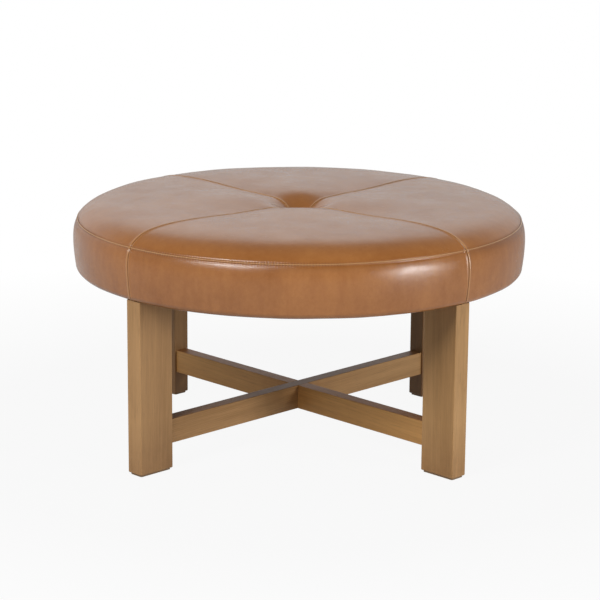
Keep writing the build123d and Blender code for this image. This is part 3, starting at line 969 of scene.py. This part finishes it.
def turned_loop(name, loop, finish, stands_for, relief=None, fluff=None):
    """A closed form turned about the axis from a closed loop of (radius, height) points."""
    angles = full_turn(ring_columns)
    points = np.array([around(r, angles, z - (relief(r, z, angles) if relief else 0)) for r, z in loop])
    if fluff:
        points += unevenness(points, *fluff, 5)[..., None] * np.array([0, 0, 1])
    points = np.concatenate([points, points[:1]])
    piece = new_piece(name, round_mesh(name, points), finish)
    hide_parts(stands_for)


def seam_distance(radius, angles):
    """Distance from the nearest seam for points all the way round."""
    from_middle = (angles + pi / 4) % (pi / 2) - pi / 4
    return radius * np.sin(pi / 4 - np.abs(from_middle))


def wrap_relief(radius, height, angles):
    """Valleys and slits of the wrap's upper side."""
    if height < crown_height - 60 * mm or radius > seam_radius - 4 * mm:
        return 0
    away = seam_distance(radius, angles)
    outside = height > float(crown(radius)) - 5 * mm
    slit = slit_depth * bell(away, slit_half_width) * eased(radius, 12 * mm, 40 * mm)
    return valley(radius, away) + slit * outside


def pad_relief(radius, height, angles):
    """Valleys of the foam pad's upper side."""
    return valley(radius, seam_distance(radius, angles)) * (height > deck_top + 3 * mm)


outer_radii = np.concatenate([steps(6, 80, 4), steps(80, seam_radius / mm - 6, 8)])
outer = np.stack([outer_radii, crown(outer_radii) - fibre_inset], axis=1)
skirt_radius = seam_radius - 4.5 * mm
skirt_heights = (seam_height - 4 * mm, seam_height - 12 * mm, deck_top + 1 * mm)
skirt = np.array([[skirt_radius, height] for height in skirt_heights])
inner_radii = outer_radii[outer_radii < seam_radius - 24 * mm][::-1]
inner_heights = np.maximum(crown(inner_radii) - fibre_inset - fibre_thickness, deck_top + 5 * mm)
inner = np.stack([inner_radii, inner_heights], axis=1)
skirt_inside = np.array(
    [[seam_radius - 16 * mm, deck_top + 1 * mm], [seam_radius - 17 * mm, seam_height - 10 * mm]]
)
wrap_loop = np.concatenate([outer, skirt, skirt_inside, inner])
turned_loop("fibre_wrap_loft", wrap_loop, fibre, "fibre_wrap", wrap_relief, fibre_fluff)

pad_radii = inner_radii[::-1][:-1]
pad_top = np.maximum(crown(pad_radii) - fibre_inset - fibre_thickness - 1 * mm, deck_top + 4 * mm)
pad_reach = pad_radii[-1] + 4 * mm
pad_edge = np.array([[pad_reach, pad_top[-1] - 5 * mm], [pad_reach, deck_top + 0.5 * mm]])
pad_under = np.array([[r * mm, deck_top + 0.3 * mm] for r in (400, 300, 200, 100, 6)])
pad_loop = np.concatenate([np.stack([pad_radii, pad_top], axis=1), pad_edge, pad_under])
turned_loop("foam_pad_block", pad_loop, foam, "foam_pad", pad_relief)

band_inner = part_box("rim_hoop")[1].x + 0.4 * mm
side_path = side_rows[0]
band_part = (side_path[:, 1] < deck_top - 4 * mm) & (side_path[:, 0] > band_inner + 3 * mm)
band_part[:4] = False
band_outer = (side_path - 2.8 * mm * facing(side_path))[band_part]
band_foot = np.array([[band_inner, seat_bottom + 3.2 * mm]])
band_back = np.array([[band_inner, h] for h in (380 * mm, 405 * mm, deck_top - 1 * mm)])
band_top = np.array([[seam_radius + 1 * mm, deck_top - 1 * mm]])
band_loop = np.concatenate([band_top, band_outer, band_foot, band_back])
turned_loop("foam_band_roll", band_loop, foam, "foam_band")
print("padding: loops of", len(wrap_loop), len(pad_loop), "and", len(band_loop), "points")

# %% [markdown]
# ## The tuft's button
#
# A covered button holds the tuft down: a leather disc gathered over a domed shell, on a shank that
# the twine pulls from below. It is a profile turned about the axis, with the small pleats at its rim
# where the leather is drawn together underneath.

# %% Button
button_thickness = 8 * mm
shank_radius = 3 * mm
pleat_depth = 0.25 * mm
pleat_reach = 3 * mm
pleat_turns = 9


def covered_button():
    low = button_high.z - button_thickness
    dome_foot = low + 2 * mm
    rim = button_high.x
    turns = np.radians(np.arange(0, 91, 9))
    dome = [[(rim - 0.2 * mm) * sin(t), dome_foot + (button_high.z - dome_foot) * cos(t)] for t in turns]
    under = [[rim, low + 1.2 * mm], [rim - 1 * mm, low + 0.2 * mm], [rim - 5 * mm, low], [shank_radius, low]]
    shank = [[shank_radius, button_low.z], [0, button_low.z]]
    angles = full_turn(96)
    rows = []
    for radius, height in dome + under + shank:
        near_rim = float(eased(radius, rim - pleat_reach, rim))
        pleat = pleat_depth * np.abs(np.sin(pleat_turns * angles)) * near_rim
        rows.append(around(np.maximum(radius - pleat, 0), angles, height))
    mesh = round_mesh("covered_button", rows)
    button = new_piece("covered_button", mesh, button_finish)
    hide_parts("tuft_button")
    return button


print("button:", len(covered_button().data.vertices), "points,", 2 * pleat_turns, "pleats")

# %% [markdown]
# ## Dust cover
#
# A black non-woven cloth closes the underside. It is cut as a disc with a notch for each leg,
# stretched and stapled to the frame. It hangs through a little and is pulled into a short crease at
# each staple. It is a sheet of cloth.

# %% Dust cover and its staples
cloth_low, cloth_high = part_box("dust_cover")
cloth_radius = cloth_high.x
cloth_level = cloth_low.z + 0.4 * mm
cloth_thickness = 0.4 * mm
cloth_sag = 3.2 * mm
crease_height, crease_reach = 0.45 * mm, 16 * mm
notch_inner = 361 * mm
notch_half = radians(3.2)
notch_step = 0.0002
staple_count = 72
staple_radius = cloth_radius - 7 * mm
staple_size = (1.1 * mm, 11 * mm, 0.6 * mm)
staple_clear = radians(4.2)


def dust_cover():
    sides = [s * (notch_half + step) for s in (-1, 1) for step in (0, notch_step)]
    edges = [radians(azimuth) + side for azimuth in corners.values() for side in sides]
    angles = np.sort(np.concatenate([full_turn(288), edges]))
    from_leg = np.abs(angles % (pi / 2) - pi / 4)
    reach = np.where(from_leg <= notch_half + notch_step / 2, notch_inner, cloth_radius)
    rows = []
    for share in np.concatenate([[0], np.linspace(0.04, 0.9, 22), [0.93, 0.96, 0.98, 1.0]]):
        radius = reach * share
        sag = cloth_sag * (1 - np.minimum(radius / staple_radius, 1) ** 2) ** 1.5
        crease = crease_height * np.cos(angles * staple_count) * bell(radius, crease_reach, staple_radius)
        rows.append(around(radius, angles, cloth_level - sag + crease))
    mesh = round_mesh("dust_cover_cloth", rows)
    cloth = new_piece("dust_cover_cloth", mesh, black_cloth)
    as_sheet(cloth, cloth_thickness)
    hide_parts("dust_cover")
    return cloth


def staples():
    """Flat wire crowns that hold the cloth, turned along its edge and none at a leg's notch."""
    work = bmesh.new()
    middle = Matrix.Translation((staple_radius, 0, cloth_level - 0.5 * mm))
    for k in range(staple_count):
        angle = 2 * pi * (k + 0.5) / staple_count
        if abs((angle % (pi / 2)) - pi / 4) < staple_clear:
            continue
        lean = Matrix.Rotation(radians(6 * sin(k * 2.4)), 4, "Z")
        place = Matrix.Rotation(angle, 4, "Z") @ middle @ lean
        bmesh.ops.create_cube(work, size=1, matrix=place @ Matrix.Diagonal((*staple_size, 1)))
    bmesh.ops.bevel(work, geom=work.edges[:], offset=0.25 * mm, segments=2, affect="EDGES")
    mesh = bpy.data.meshes.new("dust_cover_staples")
    work.to_mesh(mesh)
    work.free()
    new_piece("dust_cover_staples", mesh, zinc)


cloth_piece = dust_cover()
staples()

# %% [markdown]
# ## Stage and light
#
# The photo is a studio shot on white. The floor looks white to the camera and a dimmer white to the
# leather that mirrors it. A low lamp on the right makes the highlight on the side, with a weaker one
# below it, and a large one on the left fills in. The world is bright paper under a dark ceiling.

# %% Stage, lights and world
white = (1, 1, 1, 1)
floor_grey = (0.4, 0.4, 0.4, 1)
floor_reach = 30
floor_mirrored = (0.6, 1.8, 0.58, 0.36)
floor_fades = (0.7, 1.6, 0.92, 1.0)
seat_middle = Vector((0, 0, 0.4))
lamp_distance = 3.2
ceiling = (sin(radians(25)), sin(radians(38)), 0.96, 0.26)
backdrop_changes = (
    ("Z", 0.0, sin(radians(20)), 0.78, 1.0),
    ("Y", -0.1, 0.85, 0.42, 1.0),
    ("X", 0.25, 0.85, 1.0, 0.6),
)


def stage_finish():
    material, tree, shader = new_material("pale_floor", Roughness=0.9, Base_Color=floor_grey)
    ray = put(tree, "LightPath").outputs
    place = object_place(tree)
    spot = axes(tree, place)
    dim = stretched(tree, plus(tree, spot["X"], spot["Y"]), *floor_mirrored)
    seen = worked(tree, "MAXIMUM", ray["Is Camera Ray"], times(tree, ray["Is Glossy Ray"], dim))
    seen = worked(tree, "MAXIMUM", seen, ray["Is Transmission Ray"])
    seen = times(tree, seen, stretched(tree, length_of(tree, place), *floor_fades))
    glow = put(tree, "Emission", {"Color": white})
    both = put(tree, "MixShader", {0: seen, 1: shader.outputs[0], 2: glow.outputs[0]})
    feed(tree, tree.nodes["Material Output"], {"Surface": both.outputs[0]})
    return material


def soft_light(name, azimuth, elevation, size, power):
    """A round soft box aimed at the seat; the azimuth counts from the front to the right."""
    turn, rise = radians(azimuth), radians(elevation)
    reach = Vector((sin(turn) * cos(rise), -cos(turn) * cos(rise), sin(rise))) * lamp_distance
    lamp = bpy.data.lights.new(name, "AREA")
    lamp.shape = "DISK"
    lamp.size = size
    lamp.energy = power
    light = in_scene(name, lamp)
    light.location = seat_middle + reach
    light.rotation_euler = (-reach).to_track_quat("-Z", "Y").to_euler()


floor_mesh = bpy.data.meshes.new("floor")
floor_corners = [(x * floor_reach, y * floor_reach, 0) for x, y in ((-1, -1), (1, -1), (1, 1), (-1, 1))]
floor_mesh.from_pydata(floor_corners, [], [(0, 1, 2, 3)])
floor_mesh.materials.append(stage_finish())
floor = in_scene("floor", floor_mesh)

soft_light("key_light", azimuth=56, elevation=7, size=0.74, power=28)
soft_light("key_skirt", azimuth=54, elevation=-1, size=0.85, power=9)
soft_light("fill_light", azimuth=-36, elevation=35, size=1.3, power=50)

world = bpy.data.worlds.new("studio")
bpy.context.scene.world = world
world.use_nodes = True
sky = world.node_tree
direction = axes(sky, put(sky, "TexCoord").outputs["Generated"])
backdrop = stretched(sky, direction["Z"], *ceiling)
for axis, *change in backdrop_changes:
    backdrop = times(sky, backdrop, stretched(sky, direction[axis], *change))
strength = put(sky, "Mix", {0: put(sky, "LightPath").outputs["Is Camera Ray"], 2: backdrop, 3: 1.0})
feed(sky, sky.nodes["Background"], {"Color": white, "Strength": strength.outputs[0]})
bpy.context.scene.view_settings.view_transform = "Standard"
print("lights:", len(bpy.data.lights))
